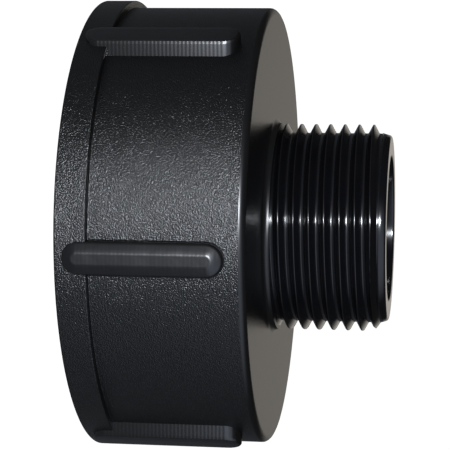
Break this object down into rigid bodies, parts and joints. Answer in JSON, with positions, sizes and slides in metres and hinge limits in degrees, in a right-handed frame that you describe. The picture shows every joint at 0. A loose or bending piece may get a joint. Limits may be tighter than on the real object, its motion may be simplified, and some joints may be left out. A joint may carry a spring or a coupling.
{
  "type": "threaded tank outlet adapter",
  "caption": "Short black cap-shaped adapter with a coarse internal thread, outer grip ribs, a flat front face and a central threaded spigot with a through bore, and a flat sealing ring inside.",
  "frame": {"origin": "centre of the open rim, on the plane that the rim stands on", "axes": "+Z along the common axis of socket and spigot, from the open rim towards the spigot; one grip rib faces -Y"},
  "size_m": [0.0714, 0.073, 0.0454],
  "materials": {
    "body_plastic": "black polypropylene, fine spark grain on the body's side, smooth face and ribs, glossy spigot",
    "gasket_rubber": "matt black rubber"
  },
  "bodies": {
    "root": {"adapter_body": "body_plastic", "gasket": "gasket_rubber"}
  },
  "joints": []
}
